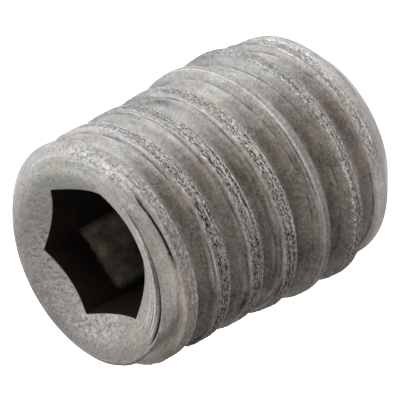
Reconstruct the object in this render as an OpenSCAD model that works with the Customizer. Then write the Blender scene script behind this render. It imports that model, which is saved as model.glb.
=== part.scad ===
// Hexagon socket set screw: right-hand metric thread, countersunk socket, chamfered flat point.
// The axis is +Z. The origin is the centre of the flat point, and the socket opens upwards.

/* [Body] */
// Overall length, from the flat point to the socket face
length = 5; // [4:0.5:12]
// Major diameter over the fully formed crests
thread_d = 4; // [3.6:0.02:4.8]

/* [Thread] */
// Pitch of the right-hand thread
pitch = 0.7; // [0.55:0.05:0.85]
// Angle between the two flanks of a groove
flank_angle = 60; // [50:1:60]
// Width of the flat on a fully formed crest
crest_flat = 0.1; // [0.06:0.01:0.2]
// Radius of the rounded root
root_r = 0.08; // [0.04:0.01:0.1]
// Height of the first crest above the flat point, on the -Y side
first_crest = 0.458; // [0:0.001:0.7]
// How much lower the crests are by the socket end, where rolling did not fill them
crest_drop = 0.08; // [0:0.005:0.1]
// Distance below the socket face at which the crests start to drop
drop_start = 3.1; // [2.5:0.1:4]
// Distance below the socket face at which the drop is complete
drop_end = 2.3; // [1:0.1:2.4]

/* [Ends] */
// Width of the chamfer around the socket face, along the radius
face_chamfer = 0.28; // [0.1:0.01:0.4]
// Angle of that chamfer, measured from the socket face
face_chamfer_angle = 56; // [30:1:65]
// Width of the chamfer around the flat point, along the radius
point_chamfer = 0.52; // [0.3:0.01:0.7]
// Angle of that chamfer, measured from the flat point
point_chamfer_angle = 47; // [30:1:60]

/* [Socket] */
// Width across the flats of the hexagon
hex_af = 2.06; // [1.8:0.01:2.4]
// Depth of the flats below the socket face
hex_depth = 2.3; // [1.5:0.1:2.8]
// Turn of the hexagon about the axis, from a corner on +X
hex_turn = 9.3; // [0:0.1:60]
// Diameter of the countersink at the socket face
sink_d = 2.86; // [2.5:0.02:3.1]
// Angle between opposite sides of the countersink
sink_angle = 90; // [80:1:120]
// Angle between opposite sides of the cone at the bottom of the socket
bottom_angle = 120; // [90:1:140]

/* [Smoothness] */
// Steps in each turn of the thread
turn_steps = 48; // [24:4:60]
// Steps across the rounded root
root_steps = 4; // [2:1:5]

/* [Hidden] */
steel = [0.62, 0.61, 0.59];
// How far a cutter or the raw thread reaches past the face it cuts
spare = 0.5;
// Room between the crests and the round envelope, so that only its chamfers trim them
envelope_gap = 0.1;
// $fn of the round cutters and of the envelope
round_fn = 96;

crest_r = thread_d / 2;
half_flank = flank_angle / 2;
// Radius at which the two flanks of a groove would meet
vee_r = crest_r - (pitch - crest_flat) / 2 / tan(half_flank);
// Radius at which the arc of the root is centred
root_centre_r = vee_r + root_r / sin(half_flank);
core_r = root_centre_r - root_r;
// Half of the angle that the arc of the root covers
root_sweep = 90 - half_flank;

// The raw thread passes both end faces by at least the spare length
raw_bottom = first_crest - pitch * (ceil((first_crest + spare) / pitch) + 1);
raw_turns = ceil((length + spare - raw_bottom) / pitch) + 1;
points_per_turn = root_steps + 3;
section_points = raw_turns * points_per_turn;

function smooth_step(x) = let (t = min(max(x, 0), 1)) t * t * (3 - 2 * t);

// Crest radius at height z: full in the lower part of the screw, lower by the socket end
function crest_r_at(z) =
    crest_r - crest_drop * smooth_step((z - length + drop_start) / (drop_start - drop_end));

// Point k of a root's arc: [height above the middle of the groove, radius]
function root_point(k) =
    let (a = root_sweep * (2 * k / root_steps - 1))
    [root_r * sin(a), root_centre_r - root_r * cos(a)];

// Point j of one turn's section, which starts at a crest of height z: [height, radius]
function section_point(j, z) =
    let (r = crest_r_at(z), half_w = crest_flat / 2 + (crest_r - r) * tan(half_flank))
    j == 0 ? [z - half_w, r] :
    j == 1 ? [z + half_w, r] :
    let (p = root_point(j - 2)) [z + pitch / 2 + p[0], p[1]];

// Column i stands at one angle and climbs from a foot, through every turn, to a head
function column(i) =
    let (a = 360 * i / turn_steps - 90, lift = pitch * i / turn_steps)
    [for (k = [-1 : section_points])
        let (turn = floor(k / points_per_turn),
             p = k == -1 ? [raw_bottom - pitch, core_r] :
                 k == section_points ? [raw_bottom + pitch * (raw_turns + 1), core_r] :
                 section_point(k - turn * points_per_turn, raw_bottom + lift + pitch * turn))
        [p[1] * cos(a), p[1] * sin(a), p[0]]];

// A long thread as one closed shell of columns. By the last column the section has climbed
// one pitch, so the seam there joins each point to the one a turn higher in the first column,
// and closes on the foot and the head with a fan.
module raw_thread() {
    per_column = section_points + 2;
    last = (turn_steps - 1) * per_column;
    head = per_column - 1;
    seam_end = head - points_per_turn - 1;
    walls = [for (i = [0 : turn_steps - 2], k = [0 : head - 1])
        let (a = i * per_column + k, b = a + per_column)
        each [[a, a + 1, b + 1], [a, b + 1, b]]];
    seam = [for (k = [1 : seam_end - 1])
        let (a = last + k, b = k + points_per_turn)
        each [[a, a + 1, b + 1], [a, b + 1, b]]];
    seam_foot = concat([for (k = [0 : points_per_turn]) [last, k + 1, k]],
        [[last, last + 1, points_per_turn + 1]]);
    seam_head = concat([for (k = [seam_end : head - 1]) [last + k, last + k + 1, head]],
        [[last + seam_end, head, head - 1]]);
    foot_cap = [for (i = [0 : turn_steps - 1]) i * per_column];
    head_cap = [for (i = [turn_steps - 1 : -1 : 0]) i * per_column + head];
    polyhedron([for (i = [0 : turn_steps - 1]) each column(i)],
        concat(walls, seam, seam_foot, seam_head, [foot_cap, head_cap]));
}

// Round outer shape: flat point and its chamfer, room for the crests, chamfer, socket face
module envelope() {
    outer_r = crest_r + envelope_gap;
    point_r = crest_r - point_chamfer;
    face_r = crest_r - face_chamfer;
    rotate_extrude($fn = round_fn)
        polygon([
            [0, 0],
            [point_r, 0],
            [outer_r, (outer_r - point_r) * tan(point_chamfer_angle)],
            [outer_r, length - (outer_r - face_r) * tan(face_chamfer_angle)],
            [face_r, length],
            [0, length]
        ]);
}

// All that is taken out for the socket: hexagon, cone at its bottom, countersink
module socket() {
    translate([0, 0, length - hex_depth])
        rotate([0, 0, hex_turn])
            cylinder(h = hex_depth + spare, d = hex_af / cos(30), $fn = 6);
    cone_h = hex_af / 2 / tan(bottom_angle / 2);
    translate([0, 0, length - hex_depth - cone_h])
        cylinder(h = cone_h, d1 = 0, d2 = hex_af, $fn = round_fn);
    sink_h = sink_d / 2 / tan(sink_angle / 2);
    translate([0, 0, length - sink_h])
        cylinder(h = sink_h + spare, r1 = 0, r2 = sink_d / 2 + spare * tan(sink_angle / 2),
            $fn = round_fn);
}

module set_screw() {
    color(steel)
        difference() {
            intersection() {
                raw_thread();
                envelope();
            }
            socket();
        }
}

set_screw();
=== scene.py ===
"""A rolled grub set screw: hexagon socket, right-hand metric thread, chamfered flat point.

Sizes are in millimetres until a mesh is finished, when they become metres in the frame of the
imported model: the screw stands on its flat point on z = 0 with the socket opening upwards.
"""

import logging
import math
from dataclasses import dataclass, fields
from enum import Enum

import bmesh
import bpy
import numpy as np
from mathutils import Matrix, Vector


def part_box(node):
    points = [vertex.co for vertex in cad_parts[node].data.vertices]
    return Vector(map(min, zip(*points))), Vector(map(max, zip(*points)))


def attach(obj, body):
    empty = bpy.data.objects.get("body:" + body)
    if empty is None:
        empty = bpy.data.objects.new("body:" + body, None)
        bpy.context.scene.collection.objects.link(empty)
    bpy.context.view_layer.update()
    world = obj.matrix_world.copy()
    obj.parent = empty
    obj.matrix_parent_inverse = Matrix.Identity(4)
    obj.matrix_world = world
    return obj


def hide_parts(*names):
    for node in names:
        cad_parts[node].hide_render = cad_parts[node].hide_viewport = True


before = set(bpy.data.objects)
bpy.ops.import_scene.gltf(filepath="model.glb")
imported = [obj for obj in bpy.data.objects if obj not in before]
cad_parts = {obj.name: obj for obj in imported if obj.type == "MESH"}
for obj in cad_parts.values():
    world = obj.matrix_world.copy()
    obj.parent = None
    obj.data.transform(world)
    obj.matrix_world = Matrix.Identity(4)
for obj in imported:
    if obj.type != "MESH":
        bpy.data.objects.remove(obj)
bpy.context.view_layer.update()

LOG = logging.getLogger("set_screw")
MM = 0.001
TURN = 2 * math.pi
QUARTER = 0.25  # Places round the screw are in turns from its -Y side, a quarter turn before +X.
FLANK_SLOPE = math.sqrt(3)  # Rise of a flank of the 60 degree thread.

Span = tuple[float, float]  # Where a change begins and ends, or the levels that it goes between.


class Mark(Enum):
    """What each stretch of the surface is, stored on the mesh for the finish to read."""

    FACE = "face"
    HOLLOW = "hollow"
    CREVICE = "crevice"


class Field:
    """A number worked out at every point of a node tree, which plain arithmetic works on."""

    def __init__(self, pen: "Pen", socket: bpy.types.NodeSocket) -> None:
        """Wraps the output of a node."""
        self.pen = pen
        self.socket = socket

    def __add__(self, other: "Field | float") -> "Field":
        """Adds."""
        return self.pen.math("ADD", self, other)

    def __sub__(self, other: "Field | float") -> "Field":
        """Takes away."""
        return self.pen.math("SUBTRACT", self, other)

    def __rsub__(self, other: float) -> "Field":
        """Takes this from a number."""
        return self.pen.math("SUBTRACT", other, self)

    def __mul__(self, other: "Field | float") -> "Field":
        """Multiplies."""
        return self.pen.math("MULTIPLY", self, other)

    def __truediv__(self, other: "Field | float") -> "Field":
        """Divides."""
        return self.pen.math("DIVIDE", self, other)

    def __rtruediv__(self, other: float) -> "Field":
        """Divides a number by this."""
        return self.pen.math("DIVIDE", other, self)

    __radd__ = __add__
    __rmul__ = __mul__


class Pen:
    """Writes nodes into a tree, for a shape or for a finish."""

    def __init__(self, tree: bpy.types.NodeTree) -> None:
        """Starts on a tree.

        Args:
            tree: The tree that the nodes go into.
        """
        self.tree = tree

    def node(self, kind: str, **settings: object) -> bpy.types.Node:
        """Adds a node.

        Args:
            kind: The node's type name.
            settings: Properties to set on it.

        Returns:
            The node.
        """
        made = self.tree.nodes.new(kind)
        for name, value in settings.items():
            setattr(made, name, value)
        return made

    def put(self, socket: bpy.types.NodeSocket, value: object) -> None:
        """Gives an input a field, the output of a node, or a plain value.

        Args:
            socket: The input.
            value: What goes into it.
        """
        source = value.socket if isinstance(value, Field) else value
        if isinstance(source, bpy.types.NodeSocket):
            self.tree.links.new(source, socket)
        else:
            socket.default_value = source

    def math(self, operation: str, *values: "Field | float") -> Field:
        """Works out one operation.

        Args:
            operation: The Math node's operation.
            values: One to three operands.

        Returns:
            The result.
        """
        made = self.node("ShaderNodeMath", operation=operation)
        for socket, value in zip(made.inputs, values):
            self.put(socket, value)
        return Field(self, made.outputs[0])

    def ramp(self, value: "Field | float", start: "Field | float", end: "Field | float",
             low: "Field | float" = 0.0, high: "Field | float" = 1.0) -> Field:
        """Goes smoothly from one value to another.

        Args:
            value: What it depends on.
            start: Where the change starts.
            end: Where the change ends.
            low: The result up to the start.
            high: The result from the end on.

        Returns:
            The result.
        """
        made = self.node("ShaderNodeMapRange", interpolation_type="SMOOTHSTEP")
        for socket, item in zip(made.inputs, (value, start, end, low, high)):
            self.put(socket, item)
        return Field(self, made.outputs[0])

    def fall(self, value: "Field | float", start: "Field | float", end: "Field | float",
             low: float = 0.0) -> Field:
        """Goes smoothly down from 1 to the low value."""
        return self.ramp(value, start, end, 1.0, low)

    def near(self, value: Field, centre: "Field | float", inner: float, outer: float,
             inside: float = 1.0, outside: float = 0.0) -> Field:
        """Goes smoothly from the inside value near a centre to the outside value away from it."""
        return self.ramp(self.math("ABSOLUTE", value - centre), inner, outer, inside, outside)

    def join(self, x: "Field | float", y: "Field | float", z: "Field | float") -> bpy.types.NodeSocket:
        """Makes a vector of three numbers.

        Args:
            x: The first number.
            y: The second number.
            z: The third number.

        Returns:
            The vector's socket.
        """
        made = self.node("ShaderNodeCombineXYZ")
        for socket, value in zip(made.inputs, (x, y, z)):
            self.put(socket, value)
        return made.outputs[0]

    def split(self, vector: bpy.types.NodeSocket) -> tuple[Field, Field, Field]:
        """Takes a vector apart.

        Args:
            vector: The vector's socket.

        Returns:
            Its three numbers.
        """
        made = self.node("ShaderNodeSeparateXYZ")
        self.put(made.inputs[0], vector)
        return tuple(Field(self, output) for output in made.outputs)

    def blend(self, share: Field, first: object, second: object) -> bpy.types.NodeSocket:
        """Mixes two colours.

        Args:
            share: How much of the second there is.
            first: A colour, or the output of a node.
            second: A colour, or the output of a node.

        Returns:
            The mixture.
        """
        made = self.node("ShaderNodeMix", data_type="RGBA", blend_type="MIX")
        self.put(made.inputs["Factor"], share)
        for socket, colour in ((made.inputs[6], first), (made.inputs[7], second)):
            self.put(socket, colour if isinstance(colour, bpy.types.NodeSocket) else (*colour, 1))
        return made.outputs[2]

    def noise(self, place: bpy.types.NodeSocket, scale: float, seed: "Field | float",
              detail: float = 2.0, roughness: float = 0.5) -> Field:
        """Adds smooth random variation.

        Args:
            place: Where it is read.
            scale: Its fineness, in patches a unit.
            seed: Picks one pattern among many.
            detail: How many finer layers are added.
            roughness: How strong the finer layers are.

        Returns:
            The variation, which swings about 0.5.
        """
        made = self.node("ShaderNodeTexNoise", noise_dimensions="4D")
        self.put(made.inputs["Vector"], place)
        self.put(made.inputs["W"], seed)
        self.put(made.inputs["Scale"], scale)
        self.put(made.inputs["Detail"], detail)
        self.put(made.inputs["Roughness"], roughness)
        return Field(self, made.outputs[0])


class ShapeTree:
    """A Geometry Nodes tree with named inputs, which makes one plain mesh."""

    def __init__(self, name: str) -> None:
        """Starts an empty tree.

        Args:
            name: The tree's name.
        """
        self.tree = bpy.data.node_groups.new(name, "GeometryNodeTree")
        self.pen = Pen(self.tree)
        self.entry = self.tree.nodes.new("NodeGroupInput")
        self.exit = self.tree.nodes.new("NodeGroupOutput")
        self.tree.interface.new_socket("Geometry", in_out="INPUT", socket_type="NodeSocketGeometry")
        self.tree.interface.new_socket("Geometry", in_out="OUTPUT", socket_type="NodeSocketGeometry")
        self.values: dict[str, object] = {}

    def number(self, name: str, value: float) -> Field:
        """Adds a named input.

        Args:
            name: The input's name.
            value: The value that it is given. A whole number makes a whole-number input.

        Returns:
            The input as a field.
        """
        kind = "NodeSocketInt" if isinstance(value, int) else "NodeSocketFloat"
        socket = self.tree.interface.new_socket(name, in_out="INPUT", socket_type=kind)
        self.values[socket.identifier] = value
        return Field(self.pen, self.entry.outputs[name])

    def numbers(self, sizes: object) -> dict[str, Field]:
        """Adds an input for each size of a sub-assembly.

        Args:
            sizes: A dataclass whose fields are numbers.

        Returns:
            The inputs by field name.
        """
        return {item.name: self.number(item.name.replace("_", " ").capitalize(), getattr(sizes, item.name))
                for item in fields(sizes)}

    def finish(self, geometry: bpy.types.NodeSocket, steel: bpy.types.Material) -> None:
        """Ends the tree in Realize Instances and Set Material.

        Args:
            geometry: What the tree has made.
            steel: The finish.
        """
        socket = self.tree.interface.new_socket("Steel", in_out="INPUT", socket_type="NodeSocketMaterial")
        self.values[socket.identifier] = steel
        real = self.pen.node("GeometryNodeRealizeInstances")
        dressed = self.pen.node("GeometryNodeSetMaterial")
        self.pen.put(real.inputs[0], geometry)
        self.pen.put(dressed.inputs["Geometry"], real.outputs[0])
        self.pen.put(dressed.inputs["Material"], self.entry.outputs["Steel"])
        self.pen.put(self.exit.inputs[0], dressed.outputs[0])

    def run(self, mesh: bpy.types.Mesh) -> bpy.types.Mesh:
        """Runs the tree on a mesh.

        Args:
            mesh: The mesh that goes in.

        Returns:
            The plain mesh that comes out.
        """
        holder = bpy.data.objects.new("holder", mesh)
        bpy.context.scene.collection.objects.link(holder)
        modifier = holder.modifiers.new("Shape", "NODES")
        modifier.node_group = self.tree
        for identifier, value in self.values.items():
            modifier[identifier] = value
        shaped = holder.evaluated_get(bpy.context.evaluated_depsgraph_get())
        made = bpy.data.meshes.new_from_object(shaped)
        bpy.data.objects.remove(holder)
        return made


@dataclass
class ThreadSizes:
    """The sizes of the rolled thread, in millimetres and degrees."""

    length: float
    radius: float
    pitch: float = 0.7
    lowest_crest: float = 0.458
    start_angle: float = 69.3
    crest_width: float = 0.15
    root_radius: float = 1.56
    root_rounding: float = 0.16
    edge_rounding: float = 0.03
    socket_drop: float = 0.088
    point_drop: float = 0.15
    socket_edge: float = 1.70
    socket_chamfer_slope: float = 1.0
    rim_rounding: float = 0.05
    rim_lean: float = 0.03
    point_edge: float = 1.51
    point_chamfer_slope: float = 1.0
    seed: float = 4.0


@dataclass(frozen=True)
class RollMarks:
    """Where the rolls left their marks on the thread, how wide they are and how deep they go.

    Heights, widths and depths are in millimetres, an offset is the height above the middle of a
    crest, and places round the screw are in turns. Turns of the thread count up from the lowest
    crest. The first turn is the one at the socket, and the last is the one at the point.
    """

    # The crests wander along the helix, and lose height towards both ends.
    wander_fineness: float = 0.9
    wander: float = 0.05
    socket_taper: Span = (1.8, 2.9)
    point_taper: Span = (0.55, 0.95)

    # The grooves above the first turn and under the last one are partly filled.
    fill: float = 0.3
    top_fill_around: Span = (0.74, 0.88)
    top_fill_turns: Span = (5.0, 5.12)
    low_fill_around: Span = (1.30, 1.42)
    low_fill_turns: Span = (-1.12, -1.0)

    # The chamfers.
    rim_fade: float = 1.4
    cone_rounding: float = 0.02
    chamfer_rounding: float = 0.06
    chamfer_edge: Span = (-0.02, 0.02)
    crest_edge: float = 0.03
    root_edge: float = 0.2

    # One crest is closed cleanly over part of the way round, with a smooth lip and two lap lines.
    closed_turn: float = 1.0
    closed_reach: Span = (0.25, 0.55)
    closed_start: Span = (0.45, 0.60)
    closed_end: Span = (1.28, 1.43)
    closed_seam: float = 0.7
    lip_offset: float = 0.045
    lip_edge: Span = (0.01, 0.03)
    lap_offset: float = 0.085
    lap_edge: Span = (0.0, 0.014)
    lap_around: float = 0.99
    lap_around_edge: Span = (0.02, 0.08)
    lap_faint: float = 0.25
    low_lap_offset: float = 0.005
    low_lap_edge: Span = (0.0, 0.01)
    low_lap_share: float = 0.5
    lap_share: float = 1.6

    # The torn seam along the middle of the other crests, with a smooth rail at its edges.
    seam_heights: Span = (1.6, 2.3)
    seam_offsets: Span = (0.025, -0.005)
    seam_inner: float = 0.015
    seam_outer: float = 0.01
    ragged_fineness: float = 14.0
    ragged: float = 0.08
    rail_inset: float = 0.025
    rail_edge: Span = (0.005, 0.03)
    last_turn: Span = (-0.65, -0.55)
    last_seam_start: Span = (0.90, 0.95)
    narrow_end: Span = (1.05, 1.15)
    narrow_shift: float = 0.055
    narrow_by: float = 0.07

    # The stretch where the first turn is rolled over the edge of the face.
    rolled_start: Span = (1.0, 1.1)
    rolled_end: Span = (1.17, 1.25)
    rolled_radii: Span = (1.74, 1.78)
    rolled_turns: Span = (4.7, 4.9)
    rolled_share: float = 0.8

    # The fine folds in the flanks, one above each crest, and a line under each crest that is painted shade
    # along its lower edge.
    drift_fineness: float = 0.6
    drift: float = 0.08
    crease_offset: float = 0.125
    crease_heights: Span = (1.2, 1.8)
    crease_lift: float = 0.04
    crease_edge: Span = (0.0, 0.016)
    crease_end: Span = (4.3, 4.45)
    broken_fineness: float = 2.5
    broken: Span = (0.42, 0.58)
    broken_faint: float = 0.15
    under_offset: float = 0.035
    under_edge: Span = (0.004, 0.022)
    crease_depth: float = 0.010

    # Over the same part of the way round, the flanks above the next crests up are combed.
    combed_lower: Span = (0.10, 0.13)
    combed_upper: Span = (0.20, 0.26)
    combed_around: Span = (0.88, 0.97)
    combed_faint: float = 0.4
    combed_turns: Span = (1.4, 1.6)

    # A split beside the crest of the first turn, and a nick in the point's chamfer.
    split_offset: float = 0.148
    split_edge: Span = (0.004, 0.022)
    split_turns: Span = (4.9, 5.0)
    split_around: float = 0.994
    split_reach: Span = (0.04, 0.062)
    split_waver: float = 0.25
    split_end_waver: float = 0.1
    nick_height: float = 0.28
    nick_edge: Span = (0.015, 0.05)
    nick_around: float = 1.057
    nick_reach: Span = (0.02, 0.035)
    nick_share: float = 0.9
    crevice_depth: float = 0.07

    # Pits in the torn seam.
    pit_fineness: float = 18.0
    pit_roughness: float = 0.6
    pitted: Span = (0.42, 0.6)
    pit_depth: float = 0.016
    seam_depth: float = 0.006


class ThreadRule:
    """What the surface is like at each place on the thread.

    The shape and the finish both follow it, so that the marks lie where the metal has its edges.
    """

    def __init__(self, pen: Pen, size: dict[str, "Field | float"], around: Field, height: Field,
                 place: bpy.types.NodeSocket, marks: RollMarks = RollMarks()) -> None:
        """Writes the rule into a tree.

        Args:
            pen: Writes the nodes.
            size: The thread's sizes by name.
            around: The angle about the axis in turns, without a jump but at the starting angle.
            height: The height along the axis.
            place: The place on a cylinder round the thread, for the random variation.
            marks: The marks that the rolls left.
        """
        self.pen, self.size, self.marks = pen, size, marks
        self.around, self.height, self.place = around, height, place
        self.turn = (height - size["lowest_crest"]) / size["pitch"] - around
        wander = (self.noise(marks.wander_fineness, 0, 1.0) - 0.5) * marks.wander
        self.offset = (pen.math("FRACT", self.turn + 0.5) - 0.5) * size["pitch"] + wander
        self.ragged = (self.noise(marks.ragged_fineness, 1, 2.0) - 0.5) * marks.ragged
        self.half_width, self.thread = self.roll_thread()
        self.cone = self.turn_cones()
        self.chamfer = pen.ramp(self.thread - self.cone, *marks.chamfer_edge)
        self.closing = pen.ramp(around, *marks.closed_start) * pen.fall(around, *marks.closed_end)
        self.closed = pen.near(self.turn, marks.closed_turn, *marks.closed_reach) * self.closing
        self.seam_offset = self.offset - pen.ramp(height, *marks.seam_heights, *marks.seam_offsets)
        self.crest = pen.fall(pen.math("ABSOLUTE", self.seam_offset), self.half_width,
                              self.half_width + marks.crest_edge)
        self.seam, self.rail = self.tear_seam()
        self.crease = self.fold_creases_and_shade_line()
        self.lip = self.closed * pen.near(self.offset, marks.lip_offset, *marks.lip_edge)
        self.combed = (pen.ramp(self.offset, *marks.combed_lower) * pen.fall(self.offset, *marks.combed_upper)
                       * pen.fall(around, *marks.combed_around, marks.combed_faint)
                       * pen.ramp(self.turn, *marks.combed_turns) * self.closing)
        self.root = pen.fall(self.thread, size["root_radius"], size["root_radius"] + marks.root_edge)
        self.crevice = self.split_metal()
        self.outer = self.carve()

    def noise(self, fineness: float, seed: int, detail: float, roughness: float = 0.5) -> Field:
        """Adds random variation, with a seed that is counted from the thread's own."""
        return self.pen.noise(self.place, fineness, self.size["seed"] + seed, detail, roughness)

    def roll_thread(self) -> tuple[Field, Field]:
        """Rolls the crests, the flanks and the roots.

        Returns:
            Half the width of the crest, and the thread's distance from the axis.
        """
        pen, size, marks = self.pen, self.size, self.marks
        crest_radius = (size["radius"] - pen.ramp(self.height, *marks.socket_taper) * size["socket_drop"]
                        - pen.fall(self.height, *marks.point_taper) * size["point_drop"])
        half_flat = size["crest_width"] * 0.5
        half_width = half_flat + (size["radius"] - crest_radius) / FLANK_SLOPE
        flank = size["radius"] + (half_flat - pen.math("ABSOLUTE", self.offset)) * FLANK_SLOPE
        ridge = pen.math("SMOOTH_MIN", flank, crest_radius, size["edge_rounding"])
        filled = (pen.ramp(self.around, *marks.top_fill_around)
                  * pen.ramp(self.turn, *marks.top_fill_turns) * marks.fill)
        filled = filled + (pen.fall(self.around, *marks.low_fill_around)
                           * pen.ramp(self.turn, *marks.low_fill_turns, marks.fill, 0.0))
        thread = pen.math("SMOOTH_MAX", ridge, size["root_radius"] + filled, size["root_rounding"])
        return half_width, thread

    def turn_cones(self) -> Field:
        """Turns the chamfer of each end, the socket's with a soft rim that leans a little.

        Returns:
            The chamfers' distance from the axis.
        """
        pen, size, marks = self.pen, self.size, self.marks
        below = size["length"] - self.height
        rim = pen.math("EXPONENT", below / size["rim_rounding"] * -marks.rim_fade) * size["rim_rounding"]
        lean = pen.math("COSINE", (self.around - QUARTER) * TURN) * size["rim_lean"]
        socket_cone = size["socket_edge"] + below * size["socket_chamfer_slope"] - rim - lean
        point_cone = size["point_edge"] + self.height * size["point_chamfer_slope"]
        return pen.math("SMOOTH_MIN", socket_cone, point_cone, marks.cone_rounding)

    def tear_seam(self) -> tuple[Field, Field]:
        """Marks the torn seam along the crests, and the smooth rail at its edges.

        Returns:
            The seam and the rail, as shares from 0 to 1.
        """
        pen, marks, around = self.pen, self.marks, self.around
        last = pen.fall(self.turn, *marks.last_turn)
        narrowed = last * pen.fall(around, *marks.narrow_end)
        from_seam = pen.math("ABSOLUTE", self.seam_offset - narrowed * marks.narrow_shift) + self.ragged
        edge = self.half_width - narrowed * marks.narrow_by
        seam = pen.fall(from_seam, edge - marks.seam_inner, edge + marks.seam_outer)
        seam = seam * (1.0 - self.chamfer) * (1.0 - self.closed * marks.closed_seam)
        seam = seam * (1.0 - last * pen.fall(around, *marks.last_seam_start))
        rolled_over = (pen.ramp(around, *marks.rolled_start) * pen.fall(around, *marks.rolled_end)
                       * pen.ramp(self.cone, *marks.rolled_radii) * pen.ramp(self.turn, *marks.rolled_turns))
        seam = pen.math("MAXIMUM", seam, rolled_over * marks.rolled_share)
        rail = pen.near(from_seam - edge, -marks.rail_inset, *marks.rail_edge) * seam
        return seam, rail

    def fold_creases_and_shade_line(self) -> Field:
        """Marks the fine folds above the crests, the line of painted shade along each crest's lower edge, and
        the lap lines of the closed crest.

        Returns:
            How deep the folds and the shade line are, where 1 is a plain one.
        """
        pen, marks = self.pen, self.marks
        drift = self.noise(marks.drift_fineness, 2, 1.0)
        offset = (drift * marks.drift + marks.crease_offset
                  + pen.ramp(self.height, *marks.crease_heights, marks.crease_lift, 0.0))
        broken = pen.ramp(self.noise(marks.broken_fineness, 4, 3.0), *marks.broken, marks.broken_faint, 1.0)
        above = (pen.near(self.offset, offset, *marks.crease_edge)
                 * pen.fall(self.height, *marks.crease_end) * broken)
        lap = (pen.near(self.offset, marks.lap_offset, *marks.lap_edge)
               * pen.near(self.around, marks.lap_around, *marks.lap_around_edge, outside=marks.lap_faint))
        low_lap = pen.near(self.offset, marks.low_lap_offset, *marks.low_lap_edge, inside=marks.low_lap_share)
        laps = pen.math("MAXIMUM", lap, low_lap) * self.closed * marks.lap_share
        # The line under the crest is painted shade along its lower edge, also cut in a little with the folds.
        from_under = self.seam_offset + self.half_width
        under = (pen.near(from_under, -marks.under_offset, *marks.under_edge)
                 * (1.0 - self.chamfer) * (1.0 - self.closed))
        return pen.math("MAXIMUM", pen.math("MAXIMUM", above, laps), under)

    def split_metal(self) -> Field:
        """Marks the split beside the first turn's crest and the nick in the point's chamfer.

        Returns:
            How open they are, as a share from 0 to 1.
        """
        pen, marks = self.pen, self.marks
        across = self.offset - marks.split_offset + self.ragged * marks.split_waver
        along = pen.math("ABSOLUTE", self.around - marks.split_around) + self.ragged * marks.split_end_waver
        split = (pen.near(across, 0.0, *marks.split_edge) * pen.ramp(self.turn, *marks.split_turns)
                 * pen.fall(along, *marks.split_reach))
        nick = (pen.near(self.height, marks.nick_height, *marks.nick_edge, inside=marks.nick_share)
                * pen.near(self.around, marks.nick_around, *marks.nick_reach))
        return pen.math("MAXIMUM", split, nick)

    def carve(self) -> Field:
        """Cuts the marks into the thread and the chamfers.

        Returns:
            The finished surface's distance from the axis.
        """
        pen, marks = self.pen, self.marks
        pits = self.noise(marks.pit_fineness, 3, 3.0, marks.pit_roughness)
        groove = self.seam * (pen.ramp(pits, *marks.pitted) * marks.pit_depth + marks.seam_depth)
        carved = self.thread - groove - self.crease * marks.crease_depth
        outer = pen.math("SMOOTH_MIN", carved, self.cone, marks.chamfer_rounding)
        return outer - self.crevice * marks.crevice_depth


@dataclass
class ThreadShell:
    """The rolled thread with the chamfers at both its ends, as one open shell.

    Its rows follow the helix, so that the last column joins the first one a turn higher up. They
    are crowded together on the crests, and those past an end are flattened onto it and merged.
    """

    sizes: ThreadSizes
    columns: int = 360
    rows: int = 274
    rows_a_turn: int = 33
    lowest_turn: float = -2.2
    crowding: float = 0.5
    crowded_at: float = 0.04
    merging: float = 0.0004

    def write_tree(self, steel: bpy.types.Material) -> ShapeTree:
        """Writes the tree that makes the shell.

        Args:
            steel: The finish.

        Returns:
            The tree.
        """
        shape = ShapeTree("Rolled thread")
        pen = shape.pen
        size = shape.numbers(self.sizes)
        columns, rows = shape.number("Columns", self.columns), shape.number("Rows", self.rows)
        rows_a_turn = shape.number("Rows a turn", self.rows_a_turn)
        lowest_turn = shape.number("Lowest turn", self.lowest_turn)
        grid = pen.node("GeometryNodeMeshGrid")
        for name, value in (("Size X", 1.0), ("Size Y", 1.0)):
            pen.put(grid.inputs[name], value)
        pen.put(grid.inputs["Vertices X"], columns + 1)
        pen.put(grid.inputs["Vertices Y"], rows + 1)
        across, along, _ = pen.split(pen.node("GeometryNodeInputPosition").outputs[0])

        around = across + 0.5 + (size["start_angle"] + 90) / 360
        even = (along + 0.5) * rows / rows_a_turn + lowest_turn
        crowded = even - pen.math("SINE", (even - self.crowded_at) * TURN) * (self.crowding / TURN)
        free = (crowded + around) * size["pitch"] + size["lowest_crest"]
        height = pen.math("MINIMUM", pen.math("MAXIMUM", free, 0.0), size["length"])
        angle = (around - QUARTER) * TURN
        side_x = pen.math("COSINE", angle)
        side_y = pen.math("SINE", angle)
        place = pen.join(side_x * size["radius"], side_y * size["radius"], height)
        rule = ThreadRule(pen, size, around, height, place)

        moved = pen.node("GeometryNodeSetPosition")
        pen.put(moved.inputs["Geometry"], grid.outputs["Mesh"])
        pen.put(moved.inputs["Position"], pen.join(side_x * rule.outer, side_y * rule.outer, height))
        closed = pen.node("GeometryNodeMergeByDistance")
        pen.put(closed.inputs["Geometry"], moved.outputs[0])
        pen.put(closed.inputs["Distance"], self.merging)
        shape.finish(closed.outputs[0], steel)
        return shape

    def build(self, steel: bpy.types.Material) -> bpy.types.Mesh:
        """Makes the open shell.

        Args:
            steel: The finish.

        Returns:
            Its mesh, in millimetres.
        """
        return self.write_tree(steel).run(bpy.data.meshes.new("empty"))


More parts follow.
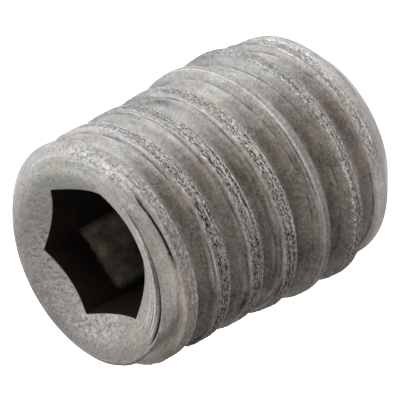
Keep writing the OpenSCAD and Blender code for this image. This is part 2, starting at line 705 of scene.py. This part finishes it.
@dataclass
class Skin:
    """Points, faces and marks that grow row by row into one closed surface."""

    points: np.ndarray
    faces: list[tuple[int, ...]]
    marks: dict[Mark, np.ndarray]
    tolerance: float = 2e-5

    @classmethod
    def of_mesh(cls, mesh: bpy.types.Mesh) -> "Skin":
        """Reads the thread shell.

        Args:
            mesh: The shell's mesh.

        Returns:
            The skin.
        """
        points = np.empty(len(mesh.vertices) * 3)
        mesh.vertices.foreach_get("co", points)
        marks = {mark: np.zeros(len(mesh.vertices)) for mark in Mark}
        return cls(points.reshape(-1, 3), [tuple(face.vertices) for face in mesh.polygons], marks)

    def ring_at(self, height: float) -> np.ndarray:
        """Finds the open edge at a height.

        Args:
            height: The height of the edge.

        Returns:
            The numbers of its points, in order of their angle about the axis.
        """
        found = np.flatnonzero(np.abs(self.points[:, 2] - height) < self.tolerance)
        return found[np.argsort(np.arctan2(self.points[found, 1], self.points[found, 0]))]

    def add_points(self, points: np.ndarray, marks: dict[Mark, float]) -> np.ndarray:
        """Adds points with the same marks.

        Args:
            points: Their places.
            marks: The marks that aren't zero.

        Returns:
            Their numbers.
        """
        first = len(self.points)
        self.points = np.vstack([self.points, points])
        for mark in Mark:
            given = np.broadcast_to(marks.get(mark, 0.0), len(points))
            self.marks[mark] = np.append(self.marks[mark], given)
        return np.arange(first, first + len(points))

    def add_row(self, before: np.ndarray, points: np.ndarray, marks: dict[Mark, float]) -> np.ndarray:
        """Adds a closed row of points, joined to the row before.

        Args:
            before: The numbers of the points of the row before.
            points: The places of the new points.
            marks: The marks that aren't zero.

        Returns:
            The numbers of the new points.
        """
        row = self.add_points(points, marks)
        self.faces += zip(before.tolist(), np.roll(before, -1).tolist(),
                          np.roll(row, -1).tolist(), row.tolist())
        return row

    def close(self, before: np.ndarray, height: float, marks: dict[Mark, float]) -> None:
        """Closes a row with a fan of triangles to a point on the axis."""
        centre = int(self.add_points(np.array([[0.0, 0.0, height]]), marks)[0])
        self.faces += [(a, b, centre) for a, b in zip(before.tolist(), np.roll(before, -1).tolist())]

    def to_mesh(self, name: str) -> bpy.types.Mesh:
        """Makes the mesh, with its faces outwards and its marks stored.

        Args:
            name: The mesh's name.

        Returns:
            The mesh, in millimetres.
        """
        mesh = bpy.data.meshes.new(name)
        mesh.from_pydata(self.points.tolist(), [], self.faces)
        work = bmesh.new()
        work.from_mesh(mesh)
        bmesh.ops.recalc_face_normals(work, faces=work.faces)
        work.to_mesh(mesh)
        work.free()
        for mark, values in self.marks.items():
            mesh.attributes.new(mark.value, "FLOAT", "POINT").data.foreach_set("value", values)
        mesh.shade_smooth()
        return mesh


@dataclass
class SocketEnd:
    """The face, the soft-edged countersink and the hexagon socket with its drilled bottom.

    A crevice runs part of the way round the face, where the first turn of thread was rolled
    over its edge.
    """

    length: float
    corner_angle: float = 9.3
    across_flats: float = 2.08
    off_centre: float = 0.05
    depth: float = 2.3
    sink_radius: float = 1.475
    sink_slope: float = 0.63
    sink_softness: float = 0.16
    bottom_slope: float = 30.0
    crevice_angles: tuple[float, float] = (-165.0, -76.0)
    crevice_depth: float = 0.08
    crevice_width: float = 0.032
    crevice_openness: float = 0.7
    crevice_fullness: float = 0.8
    crevice_least: float = 0.3
    crevice_shade: float = 4.0
    edge_step: float = 0.008
    wall_crowding: float = 1.3
    bottom_inset: float = 0.005
    face_rows: int = 16
    wall_rows: int = 6
    bottom_rows: int = 5

    def mouth_radius(self, angles: np.ndarray) -> np.ndarray:
        """Gives the distance from the axis to the hexagon.

        Args:
            angles: Angles about the axis.

        Returns:
            The distances.
        """
        sector = math.radians(60)
        from_flat = (angles - math.radians(self.corner_angle)) % sector - sector / 2
        return self.across_flats / 2 / np.cos(from_flat)

    def height_at(self, radius: np.ndarray) -> np.ndarray:
        """Gives the height of the face and the countersink.

        Args:
            radius: Distances from the axis.

        Returns:
            The heights.
        """
        fall = (self.sink_radius - radius) * self.sink_slope
        soft = self.sink_softness * self.sink_slope
        near = np.maximum(soft - np.abs(fall), 0) / soft
        return self.length - np.maximum(fall, 0) - near ** 3 * soft / 6

    def crevice_at(self, angles: np.ndarray) -> np.ndarray:
        """Gives how open the crevice is, which is nothing outside its stretch.

        Args:
            angles: Angles about the axis.

        Returns:
            Shares from 0 to 1.
        """
        first, last = (math.radians(angle) for angle in self.crevice_angles)
        along = np.clip((angles - first) / (last - first), 0, 1)
        return np.sin(along * math.pi) ** self.crevice_fullness * self.crevice_openness

    def build(self, skin: Skin) -> None:
        """Grows the end from the thread shell's upper edge inwards.

        Args:
            skin: The surface so far.
        """
        edge = skin.ring_at(self.length)
        rim = skin.points[edge]
        angles = np.arctan2(rim[:, 1], rim[:, 0])
        outer = np.hypot(rim[:, 0], rim[:, 1])
        mouth = self.mouth_radius(angles)
        row = edge

        def lay(radius: np.ndarray, height: np.ndarray, marks: dict[Mark, float | np.ndarray]) -> None:
            """Adds one row of points, which shifts off the axis towards the hexagon.

            Args:
                radius: Their distances from the axis.
                height: Their heights.
                marks: The marks that aren't zero.
            """
            nonlocal row
            shift = self.off_centre * np.clip((outer - radius) / (outer - mouth), 0, 1)
            places = np.stack([radius * np.cos(angles) + shift, radius * np.sin(angles),
                               np.broadcast_to(height, radius.shape)], axis=1)
            row = skin.add_row(row, places, marks)

        skin.marks[Mark.FACE][edge] = 0.5
        opened = self.crevice_at(angles)
        for steps, share in ((1, 1.0), (2, 1.0), (3, 0.0)):
            radius = outer - self.crevice_width * steps * (self.crevice_least + opened)
            height = self.height_at(radius) - self.crevice_depth * opened * share
            shade = np.minimum(opened * self.crevice_shade, 1) * share
            lay(radius, height, {Mark.FACE: 1.0, Mark.CREVICE: shade})
        start = radius
        brink = mouth + self.edge_step
        for share in np.linspace(0, 1, self.face_rows + 1)[1:]:
            radius = start + (brink - start) * share
            lay(radius, self.height_at(radius), {Mark.FACE: 1.0})
        lay(mouth, self.height_at(mouth) - self.edge_step * 0.5, {Mark.FACE: 0.5, Mark.HOLLOW: 0.5})
        mouth_height = self.height_at(mouth) - self.edge_step * 1.5
        lay(mouth, mouth_height, {Mark.HOLLOW: 1.0})
        floor = self.length - self.depth
        for share in np.linspace(0, 1, self.wall_rows + 1)[1:]:
            sunk = (floor - mouth_height) * share ** self.wall_crowding
            lay(mouth, mouth_height + sunk, {Mark.HOLLOW: 1.0})
        drill = np.full_like(mouth, self.across_flats / 2 - self.bottom_inset)
        slope = math.tan(math.radians(self.bottom_slope))
        for share in np.linspace(1, 0, self.bottom_rows + 1)[:-1]:
            lay(drill * share, floor - drill[0] * (1 - share) * slope, {Mark.HOLLOW: 1.0})
        skin.close(row, floor - drill[0] * slope, {Mark.HOLLOW: 1.0})


@dataclass
class FlatPoint:
    """The flat under the screw, with the shallow dish that cutting off left in it."""

    rows: int = 8
    dish: float = 0.03
    dish_edge: float = 0.25

    def build(self, skin: Skin) -> None:
        """Grows the point from the thread shell's lower edge inwards.

        Args:
            skin: The surface so far.
        """
        edge = skin.ring_at(0.0)
        rim = skin.points[edge]
        row = edge
        for share in np.linspace(1, 0, self.rows + 1)[1:-1]:
            dish = self.dish * (1 - share ** 2) * min(1.0, (1 - share) / self.dish_edge)
            places = rim * (share, share, 1) + (0, 0, dish)
            row = skin.add_row(row, places, {Mark.FACE: 1.0})
        skin.close(row, self.dish, {Mark.FACE: 1.0})


@dataclass(frozen=True)
class Zones:
    """Where the sides begin, as shares of the radius, and where the ends do, in millimetres. The finish
    paints light and shade by them: the light side faces +X and the key lamp, the dark side faces -X.
    """

    light_side: Span = (0.1, 0.75)
    dark_side: Span = (-0.25, -0.6)
    first_turn: Span = (4.05, 4.35)
    far_end: Span = (0.60, 0.80)


class Surface:
    """What each point of the screw is part of, mostly as shares from 0 to 1."""

    def __init__(self, pen: Pen, sizes: ThreadSizes, zones: Zones) -> None:
        """Works out the parts in a finish's tree.

        Args:
            pen: Writes the nodes.
            sizes: The sizes of the thread.
            zones: Where the sides and the ends begin.
        """
        self.pen = pen
        scale = pen.node("ShaderNodeMapping", vector_type="POINT")
        pen.put(scale.inputs["Vector"], pen.node("ShaderNodeTexCoord").outputs["Object"])
        pen.put(scale.inputs["Scale"], (1 / MM,) * 3)
        self.place = scale.outputs[0]
        self.x, self.y, self.height = pen.split(self.place)
        self.from_axis = pen.math("SQRT", self.x * self.x + self.y * self.y)
        outwards = sizes.radius / self.from_axis
        on_cylinder = pen.join(self.x * outwards, self.y * outwards, self.height)
        around = self.turns_around(math.radians(sizes.start_angle))
        rule = ThreadRule(pen, vars(sizes), around, self.height, on_cylinder)
        self.turn, self.lip = rule.turn, rule.lip

        self.face, self.hollow = self.mark(Mark.FACE), self.mark(Mark.HOLLOW)
        self.thread = (1.0 - self.face) * (1.0 - self.hollow)
        self.seam, self.crease, self.rail = (rule.seam * self.thread, rule.crease * self.thread,
                                             rule.rail * self.thread)
        self.chamfer, self.combed, self.root = (rule.chamfer * self.thread, rule.combed * self.thread,
                                                rule.root * self.thread)
        self.crevice = pen.math("MAXIMUM", rule.crevice * self.thread, self.mark(Mark.CREVICE))
        crest = rule.crest * self.thread
        self.band = crest * (1.0 - self.chamfer)
        self.flank = self.thread * (1.0 - crest) * (1.0 - self.chamfer)

        # The sides and the ends, by which the finish paints light and shade.
        self.side = self.x / sizes.radius
        self.light_side = pen.ramp(self.side, *zones.light_side)
        self.dark_side = pen.ramp(self.side, *zones.dark_side)
        self.first_turn = pen.ramp(self.height, *zones.first_turn)
        self.far_end = pen.fall(self.height, *zones.far_end)

    def mark(self, mark: Mark) -> Field:
        """Reads one of the marks on the mesh."""
        stored = self.pen.node("ShaderNodeAttribute", attribute_name=mark.value)
        return Field(self.pen, stored.outputs["Fac"])

    def turns_around(self, start: float) -> Field:
        """Works out the angle about the axis, which jumps only where the thread shell starts.

        Args:
            start: The angle of that start.

        Returns:
            The angle, in turns.
        """
        ahead = self.x * -math.cos(start) - self.y * math.sin(start)
        aside = self.x * math.sin(start) - self.y * math.cos(start)
        return self.pen.math("ARCTAN2", aside, ahead) / TURN + (0.5 + start / TURN + QUARTER)


@dataclass(frozen=True)
class Grain:
    """One layer of smooth random variation in the steel, which swings about 0.5."""

    fineness: float
    seed: float
    detail: float = 2.0
    roughness: float = 0.5

    def lay(self, pen: Pen, place: bpy.types.NodeSocket) -> Field:
        """Adds the layer to a tree."""
        return pen.noise(place, self.fineness, self.seed, self.detail, self.roughness)


@dataclass(frozen=True)
class DrawnGrain:
    """Variation that is drawn out along the helix and closes on itself all round."""

    along: float
    across: float
    detail: float = 1.0
    roughness: float = 0.55

    def lay(self, at: Surface, pitch: float) -> Field:
        """Adds the variation to a tree.

        Args:
            at: The parts of the screw.
            pitch: The pitch of the thread.

        Returns:
            The variation, which swings about 0.5.
        """
        pen = at.pen
        circle = self.across * pitch / TURN
        angle = at.turn * TURN
        vector = pen.join(at.x * self.along, at.y * self.along, pen.math("COSINE", angle) * circle)
        seed = pen.math("SINE", angle) * circle + at.height * self.along
        return pen.noise(vector, 1.0, seed, self.detail, self.roughness)


@dataclass(frozen=True)
class ToneAndPaintedLight:
    """How light each part of the steel is, as shares of its colour, before grain and wear, with light and
    shade painted in by side and towards the ends.
    """

    base: float = 0.60
    band_heights: Span = (0.9, 2.4)
    band: Span = (0.02, 0.18)
    # Painted light and shade on the band: lighter at the far end, more so on the dark side, and a little
    # darker on the light side.
    band_far_end: float = 0.22
    band_far_dark_side: float = 0.3
    band_light_side: float = -0.05
    face: float = 0.22
    # Painted light on the face: lighter towards +X and -Y, on the dark side and towards the light side's
    # edge.
    face_slant: float = 0.1
    face_dark_side: float = 0.11
    face_light_side: float = 0.24
    face_light_edge: Span = (0.4, 0.7)
    lip: float = 0.3
    chamfer: float = 0.08
    # Painted light on the chamfers: on the light side of the first turn, and at the far end, more so on the
    # dark side.
    chamfer_light_side: float = 0.2
    chamfer_light_edge: Span = (-0.8, 0.2)
    chamfer_far_end: float = 0.15
    chamfer_far_dark_side: float = 0.6
    # Painted light on the first turn's band and chamfer, on the dark side.
    first_turn_dark_side: float = 0.3
    first_chamfer_share: float = 0.5
    flank: float = -0.05
    # Painted light on the flanks: on the light side, on the dark side near both ends, and near the far end
    # away from the light side; and on the roots of the light side.
    flank_light_side: float = 0.22
    top_flank: float = 0.4
    top_flank_heights: Span = (4.45, 4.6)
    low_flank: float = 0.45
    low_flank_heights: Span = (0.42, 0.5)
    last_flank: float = 0.18
    last_flank_heights: Span = (0.7, 0.95)
    root_light_side: float = 0.3

    def lay(self, at: Surface) -> Field:
        """Adds the tone, with its painted light and shade, to a tree.

        Args:
            at: The parts of the screw.

        Returns:
            The tone.
        """
        pen = at.pen
        band = (pen.ramp(at.height, *self.band_heights, *self.band) + at.light_side * self.band_light_side
                + at.far_end * (at.dark_side * self.band_far_dark_side + self.band_far_end))
        face = (self.face + (at.x - at.y) * self.face_slant + at.dark_side * self.face_dark_side
                + pen.ramp(at.side, *self.face_light_edge) * self.face_light_side)
        lit = pen.ramp(at.y, *self.chamfer_light_edge, 0.0, self.chamfer_light_side)
        chamfer = (self.chamfer + at.light_side * at.first_turn * lit
                   + at.far_end * (self.chamfer_far_end + at.dark_side * self.chamfer_far_dark_side))
        first_turn = at.first_turn * at.dark_side * (at.band + at.chamfer * self.first_chamfer_share)
        dark_flank = (pen.ramp(at.height, *self.top_flank_heights) * self.top_flank
                      + pen.fall(at.height, *self.low_flank_heights) * self.low_flank)
        last_flank = pen.ramp(at.height, *self.last_flank_heights, self.last_flank, 0.0)
        flank = (self.flank + at.light_side * self.flank_light_side + at.dark_side * dark_flank
                 + last_flank * (1.0 - at.light_side))
        return (self.base + at.band * band + at.face * face + at.lip * at.band * self.lip
                + at.chamfer * chamfer + first_turn * self.first_turn_dark_side + at.flank * flank
                + at.root * at.light_side * self.root_light_side)


@dataclass(frozen=True)
class SocketLightPatch:
    """The one lighter patch in the dark socket, on its +Y wall: painted light that stands for light reflected
    onto that wall from inside the socket.
    """

    top: Span = (3.98, 4.1)
    waver: float = 0.25
    wall: Span = (0.3, 0.8)
    off_the_wall: float = 0.05
    mottling: float = 1.6
    evenness: float = 0.2
    dark_edge: Span = (-0.66, -0.48)
    middle: Span = (-0.12, 0.02)
    dark_share: float = 0.6
    light_edge: Span = (0.38, 0.52)

    def lay(self, at: Surface, blotch: Field) -> Field:
        """Adds the patch to a tree.

        Args:
            at: The parts of the screw.
            blotch: The variation that breaks the patch up.

        Returns:
            How strong the patch is.
        """
        pen = at.pen
        return (pen.fall(at.height + (blotch - 0.5) * self.waver, *self.top)
                * pen.ramp(at.y, *self.wall, self.off_the_wall, 1.0)
                * (blotch * self.mottling + self.evenness)
                * pen.ramp(at.x, *self.dark_edge) * pen.ramp(at.x, *self.middle, self.dark_share, 1.0)
                * pen.fall(at.x, *self.light_edge))


@dataclass(frozen=True)
class TurnedRings:
    """The fine rings that the countersink's tool left at its lower side."""

    grain: Grain = Grain(26.0, 6.0)
    direction: tuple[float, float] = (-0.57, -0.82)
    drift: float = 0.15
    side: Span = (0.55, 0.85)
    radii: Span = (1.25, 1.4)

    def lay(self, at: Surface) -> Field:
        """Adds the rings to a tree.

        Args:
            at: The parts of the screw.

        Returns:
            The rings, which swing about 0.
        """
        lower_side = (at.x * self.direction[0] + at.y * self.direction[1]) / at.from_axis
        rings = self.grain.lay(at.pen, at.pen.join(at.from_axis, lower_side * self.drift, 0.0))
        return ((rings - 0.5) * at.face * at.pen.ramp(lower_side, *self.side)
                * at.pen.ramp(at.from_axis, *self.radii))


@dataclass(frozen=True)
class WearSizes:
    """How much of the grain is worn or torn into marks, as levels of its variation and shares."""

    drawn_out: float = 0.5
    pitted: Span = (0.48, 0.59)
    flecked: Span = (0.36, 0.48)
    missing_from_first_turn: float = 0.6
    missing_from_rail: float = 0.55
    few_heights: Span = (0.6, 2.2)
    few: float = 0.6
    pocked: Span = (0.50, 0.66)
    pock_clusters: float = 0.25


class Wear:
    """The grains of the steel and the pits, flecks, pocks and rings in it."""

    def __init__(self, at: Surface, pitch: float, sizes: WearSizes = WearSizes()) -> None:
        """Adds the grains and the marks to a finish's tree.

        Args:
            at: The parts of the screw.
            pitch: The pitch of the thread.
            sizes: How much of the grain becomes marks.
        """
        pen = at.pen
        self.grain = Grain(30.0, 1.0, 2.0, 0.6).lay(pen, at.place)
        self.blotch = Grain(5.0, 2.0).lay(pen, at.place)
        self.mottle = Grain(1.6, 3.0).lay(pen, at.place)
        self.cloud = Grain(10.0, 13.0, 1.0).lay(pen, at.place)
        self.dents = Grain(16.0, 5.0, 4.0, 0.65).lay(pen, at.place)
        self.hammered = Grain(8.0, 8.0).lay(pen, at.place)
        self.lines = DrawnGrain(0.8, 50.0).lay(at, pitch)
        self.streaks = DrawnGrain(1.2, 18.0).lay(at, pitch)
        speckle = DrawnGrain(22.0, 44.0, 2.0).lay(at, pitch)

        rows = speckle + (self.lines - 0.5) * sizes.drawn_out
        torn = at.seam * (1.0 - at.first_turn * sizes.missing_from_first_turn)
        self.pits = (pen.ramp(rows, *sizes.pitted) * torn * (1.0 - at.rail * sizes.missing_from_rail)
                     * pen.ramp(at.height, *sizes.few_heights, sizes.few, 1.0))
        self.flecks = pen.fall(rows, *sizes.flecked) * torn
        clustered = self.dents + (self.mottle - 0.5) * sizes.pock_clusters
        self.pocks = pen.ramp(clustered, *sizes.pocked) * at.face
        self.rings = TurnedRings().lay(at)


@dataclass(frozen=True)
class RolledSteel:
    """Pickled stainless steel: grey, softly mottled, brighter and pitted where the rolls closed, with light
    and shade painted into its tone.
    """

    sizes: ThreadSizes
    colour: tuple[float, float, float] = (0.415, 0.389, 0.365)
    # Lit and shaded copies of the colour, as painted light and shade: warmer on the shaded flanks, more
    # neutral on the light side and the far chamfer.
    shaded: tuple[float, float, float] = (0.436, 0.388, 0.345)
    bright: tuple[float, float, float] = (0.396, 0.391, 0.384)
    # The socket's warmer colour, which the tone darkens as painted shade.
    inside: tuple[float, float, float] = (0.485, 0.386, 0.300)
    greener: tuple[float, float, float] = (0.97, 1.0, 0.90)
    pinker: tuple[float, float, float] = (1.03, 0.97, 0.975)
    green_grain: Grain = Grain(1.9, 7.0, 1.0)
    green_edge: Span = (0.5, 0.72)
    pink_grain: Grain = Grain(2.3, 11.0, 1.0)
    pink_edge: Span = (0.5, 0.75)
    tint: float = 0.6
    roughness: float = 0.68
    uneven_gloss: float = 0.2
    relief: float = 0.010
    zones: Zones = Zones()
    patina: ToneAndPaintedLight = ToneAndPaintedLight()
    burnish: SocketLightPatch = SocketLightPatch()

    def tone(self, at: Surface, wear: Wear) -> Field:
        """Works out how light the steel is, as a share of its colour, with its painted light and shade.

        Args:
            at: The parts of the screw.
            wear: The grains and marks.

        Returns:
            The tone.
        """
        tone = self.patina.lay(at)
        # How strongly each grain shows, and where it shows more or less.
        for swing, strength in (
            (wear.grain, 1.0 - at.light_side * 0.3 - at.face * 0.2),
            (wear.blotch, 0.3),
            (wear.cloud, at.thread * 0.25),
            (wear.streaks, at.thread * (0.4 + at.combed * 1.2)),
            (wear.mottle, 0.4),
            (wear.dents, at.thread * (0.5 + at.seam * at.first_turn * 1.4)),
            (wear.lines, at.thread * (0.06 + at.combed * 0.7)),
        ):
            tone = tone + (swing - 0.5) * strength
        # What is brighter than the steel round it, and then what is darker: real marks, and painted shade in
        # the socket, the crevices and along the crests' lower edges.
        for brighter, strength in (
            (wear.flecks, 0.4 - at.light_side * 0.15),
            (at.rail, 0.16 - at.light_side * 0.1),
            (wear.rings, 3.0),
        ):
            tone = tone + brighter * strength
        # Painted light on the socket's +Y wall, which lifts the socket's painted shade.
        painted_socket_light = self.burnish.lay(at, wear.blotch)
        for darker, strength in (
            (wear.pits, 0.88 - at.light_side * 0.5),
            (wear.pocks, 0.32),
            # The fold lines, and the painted shade along each crest's lower edge.
            (at.crease, 0.35 - at.light_side * 0.15),
            # Painted shade deep in the socket, lifted where the painted socket light falls.
            (at.hollow, 0.93 - painted_socket_light * 1.5),
            # Painted shade in the split beside the first turn, in the nick and in the crevice at the face.
            (at.crevice, 0.95),
        ):
            tone = tone * (1.0 - darker * strength)
        return tone

    def mix_colour(self, at: Surface) -> bpy.types.NodeSocket:
        """Mixes the steel's colours, with lit and shaded copies as painted light and shade.

        Args:
            at: The parts of the screw.

        Returns:
            The colour, before its tone.
        """
        pen = at.pen
        green = pen.ramp(self.green_grain.lay(pen, at.place), *self.green_edge) * (1.0 - at.band) * self.tint
        pink = pen.ramp(self.pink_grain.lay(pen, at.place), *self.pink_edge) * self.tint
        # The light side and the far chamfer take the lit copy of the colour: painted light.
        lit_share = pen.math("MAXIMUM", at.light_side * (1.0 - at.hollow), at.chamfer * at.far_end)
        colour = self.colour
        for share, other in (
            (at.flank * (1.0 - at.light_side), self.shaded),
            (lit_share, self.bright),
            (at.hollow, self.inside),
            (green, np.multiply(self.colour, self.greener)),
            (pink, np.multiply(self.colour, self.pinker)),
        ):
            colour = pen.blend(share, colour, other)
        return colour

    def relieve(self, at: Surface, wear: Wear) -> Field:
        """Works out the fine relief of the surface.

        Args:
            at: The parts of the screw.
            wear: The grains and marks.

        Returns:
            The height, as a share of the full relief.
        """
        height = wear.grain * 0.45
        for raised, strength in (
            (wear.hammered - 0.5, 1.2 + at.face * 2.4),
            (wear.pits, -0.8),
            (wear.pocks, -0.9),
            (wear.rings, 3.0),
            (wear.lines * at.thread, 0.1 + at.combed * 0.6),
            (at.crease, -0.4),
        ):
            height = height + raised * strength
        return height

    def build(self) -> bpy.types.Material:
        """Makes the finish.

        Returns:
            The material.
        """
        steel = bpy.data.materials.new("Rolled steel")
        steel.use_nodes = True
        pen = Pen(steel.node_tree)
        at = Surface(pen, self.sizes, self.zones)
        wear = Wear(at, self.sizes.pitch)

        shader = steel.node_tree.nodes["Principled BSDF"]
        shade = pen.node("ShaderNodeVectorMath", operation="SCALE")
        pen.put(shade.inputs[0], self.mix_colour(at))
        pen.put(shade.inputs["Scale"], self.tone(at, wear))
        pen.put(shader.inputs["Base Color"], shade.outputs[0])
        shader.inputs["Metallic"].default_value = 1.0
        uneven = (wear.grain - 0.5) * self.uneven_gloss + wear.pits * self.uneven_gloss
        pen.put(shader.inputs["Roughness"], self.roughness + uneven)
        bump = pen.node("ShaderNodeBump")
        pen.put(bump.inputs["Distance"], self.relief * MM)
        pen.put(bump.inputs["Height"], self.relieve(at, wear))
        pen.put(shader.inputs["Normal"], bump.outputs[0])
        return steel


@dataclass
class SetScrew:
    """The whole screw, one solid piece of steel."""

    thread: ThreadShell
    socket: SocketEnd
    point: FlatPoint
    finish: RolledSteel

    def build(self) -> bpy.types.Object:
        """Makes the screw and puts it in its place in the frame.

        Returns:
            The finished piece.
        """
        steel = self.finish.build()
        skin = Skin.of_mesh(self.thread.build(steel))
        self.socket.build(skin)
        self.point.build(skin)
        mesh = skin.to_mesh("grub_screw")
        mesh.materials.append(steel)
        mesh.transform(Matrix.Scale(MM, 4))
        screw = bpy.data.objects.new("grub_screw", mesh)
        bpy.context.scene.collection.objects.link(screw)
        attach(screw, "root")
        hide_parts("set_screw")
        return screw


@dataclass
class SoftBox:
    """A large square lamp that faces the middle of the screw."""

    name: str
    azimuth: float
    elevation: float
    power: float
    width: float = 70.0
    distance: float = 80.0

    def build(self, target: Vector) -> bpy.types.Object:
        """Hangs the lamp.

        Args:
            target: What it faces.

        Returns:
            The lamp.
        """
        lamp = bpy.data.lights.new(self.name, "AREA")
        lamp.shape = "SQUARE"
        lamp.size = self.width * MM
        lamp.energy = self.power
        box = bpy.data.objects.new(self.name, lamp)
        azimuth, elevation = math.radians(self.azimuth), math.radians(self.elevation)
        away = Vector((math.cos(azimuth) * math.cos(elevation), math.sin(azimuth) * math.cos(elevation),
                       math.sin(elevation)))
        box.location = target + away * self.distance * MM
        box.rotation_euler = away.to_track_quat("Z", "Y").to_euler()
        bpy.context.scene.collection.objects.link(box)
        return box


@dataclass
class Studio:
    """The floor, the lamps, the pale surroundings and the camera."""

    length: float
    floor_radius: float = 300.0
    floor_sides: int = 96
    floor_roughness: float = 0.9
    camera_elevation: float = 35.0
    camera_distance: float = 240.0
    camera_roll: float = 118.1
    view_width: float = 6.182
    framing: tuple[float, float] = (-0.0618, -0.0147)
    sensor: float = 36.0
    clip: Span = (0.01, 2.0)
    surround: float = 0.02
    floor_shade: float = 0.8
    own_light: float = 0.85
    mirrored_shade: float = 0.1
    floor_glow: float = 1.6
    glow_azimuth: float = -8.0
    glow_edge: Span = (-3.0, 6.0)
    pool_glow: float = 0.6
    pool_edge: Span = (2.0, 7.0)
    lamps: tuple[SoftBox, ...] = (
        SoftBox("Key softbox", 0, 30, 0.108),
        SoftBox("Front side softbox", -45, 8, 0.045),
        SoftBox("Fill softbox", 225, 30, 0.041),
        SoftBox("High fill softbox", 225, 58, 0.013),
        SoftBox("Back softbox", 90, 30, 0.018),
        SoftBox("Low back softbox", 90, 8, 0.012),
        SoftBox("Far side softbox", 180, 58, 0.005),
    )

    def mirrored_glow(self, pen: Pen) -> Field:
        """Gives how strongly the floor glows in the steel: on one side, and near the screw's foot.

        Args:
            pen: Writes the nodes.

        Returns:
            The strength.
        """
        x, y, _ = pen.split(pen.node("ShaderNodeTexCoord").outputs["Object"])
        azimuth = math.radians(self.glow_azimuth)
        bright_side = pen.ramp(x * math.cos(azimuth) + y * math.sin(azimuth),
                               *(edge * MM for edge in self.glow_edge))
        pool = pen.fall(pen.math("SQRT", x * x + y * y), *(edge * MM for edge in self.pool_edge))
        return bright_side * self.floor_glow + pool * self.pool_glow

    def build_floor(self) -> None:
        """Lays the pale floor, which looks white but keeps the screw's shadow."""
        bpy.ops.mesh.primitive_circle_add(vertices=self.floor_sides, radius=self.floor_radius * MM,
                                          fill_type="NGON")
        floor = bpy.context.object
        floor.name = "floor"
        paint = bpy.data.materials.new("Pale floor")
        paint.use_nodes = True
        pen = Pen(paint.node_tree)
        matt = paint.node_tree.nodes["Principled BSDF"]
        matt.inputs["Roughness"].default_value = self.floor_roughness
        matt.inputs["Specular IOR Level"].default_value = 0.0
        path = pen.node("ShaderNodeLightPath")
        seen = pen.math("MAXIMUM", Field(pen, path.outputs["Is Camera Ray"]),
                        Field(pen, path.outputs["Is Transmission Ray"]))
        mirrored = Field(pen, path.outputs["Is Glossy Ray"])
        shade = pen.ramp(mirrored, 0.0, 1.0, self.floor_shade, self.mirrored_shade)
        pen.put(matt.inputs["Base Color"], pen.join(shade, shade, shade))
        glow = pen.node("ShaderNodeEmission")
        pen.put(glow.inputs["Strength"], seen * self.own_light + mirrored * self.mirrored_glow(pen))
        both = pen.node("ShaderNodeAddShader")
        pen.put(both.inputs[0], matt.outputs[0])
        pen.put(both.inputs[1], glow.outputs[0])
        pen.put(paint.node_tree.nodes["Material Output"].inputs["Surface"], both.outputs[0])
        floor.data.materials.append(paint)

    def build_world(self) -> None:
        """Sets the even light from all round, and white where the camera sees past the floor."""
        world = bpy.data.worlds.new("Surroundings")
        bpy.context.scene.world = world
        world.use_nodes = True
        pen = Pen(world.node_tree)
        path = pen.node("ShaderNodeLightPath")
        strength = pen.ramp(Field(pen, path.outputs["Is Camera Ray"]), 0.0, 1.0, self.surround, 1.0)
        backdrop = world.node_tree.nodes["Background"]
        backdrop.inputs["Color"].default_value = (1, 1, 1, 1)
        pen.put(backdrop.inputs["Strength"], strength)

    def build_camera(self, target: Vector) -> None:
        """Sets the camera, turned so that the screw lies slantwise.

        Args:
            target: The middle of the view.
        """
        lens = bpy.data.cameras.new("Camera")
        lens.sensor_width = self.sensor
        lens.lens = self.sensor * self.camera_distance / self.view_width
        lens.clip_start, lens.clip_end = self.clip
        camera = bpy.data.objects.new("Camera", lens)
        bpy.context.scene.collection.objects.link(camera)
        elevation = math.radians(self.camera_elevation)
        away = Vector((0, -math.cos(elevation), math.sin(elevation)))
        upright = away.to_track_quat("Z", "Y")
        camera.rotation_mode = "QUATERNION"
        roll = Matrix.Rotation(math.radians(-self.camera_roll), 4, "Z").to_quaternion()
        camera.rotation_quaternion = upright @ roll
        camera.location = target + away * self.camera_distance * MM
        bpy.context.scene.camera = camera

    def build(self) -> None:
        """Builds the whole studio."""
        middle = Vector((0, 0, self.length / 2 * MM))
        self.build_floor()
        self.build_world()
        self.build_camera(middle + self.framing_shift())
        for lamp in self.lamps:
            lamp.build(middle)
        bpy.context.scene.view_settings.view_transform = "Standard"

    def framing_shift(self) -> Vector:
        """Gives how far the middle of the view lies from the middle of the screw.

        Returns:
            The shift, in metres.
        """
        elevation = math.radians(self.camera_elevation)
        axis = Vector((0, -math.sin(elevation), -math.cos(elevation)))
        side = Vector((1, 0, 0))
        slant = math.radians(self.camera_roll - 90)
        right = axis * math.cos(slant) - side * math.sin(slant)
        up = axis * math.sin(slant) + side * math.cos(slant)
        return (right * self.framing[0] + up * self.framing[1]) * MM


def report(piece: bpy.types.Object) -> None:
    """Logs a piece's size and how many triangles it has.

    Args:
        piece: The finished piece.
    """
    triangles = sum(len(face.vertices) - 2 for face in piece.data.polygons)
    edges = bmesh.new()
    edges.from_mesh(piece.data)
    open_edges = sum(not edge.is_manifold for edge in edges.edges)
    volume = edges.calc_volume(signed=True) / MM ** 3
    edges.free()
    LOG.info("%s: %d triangles, %d open edges, %.2f mm3", piece.name, triangles, open_edges, volume)


def main() -> None:
    """Builds the screw and the studio."""
    logging.basicConfig(level=logging.INFO, format="%(message)s")
    low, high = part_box("set_screw")
    length = (high[2] - low[2]) / MM
    radius = (high[0] - low[0]) / 2 / MM
    sizes = ThreadSizes(length, radius)
    screw = SetScrew(ThreadShell(sizes), SocketEnd(length), FlatPoint(), RolledSteel(sizes)).build()
    report(screw)
    Studio(length).build()


if __name__ == "__main__":
    main()
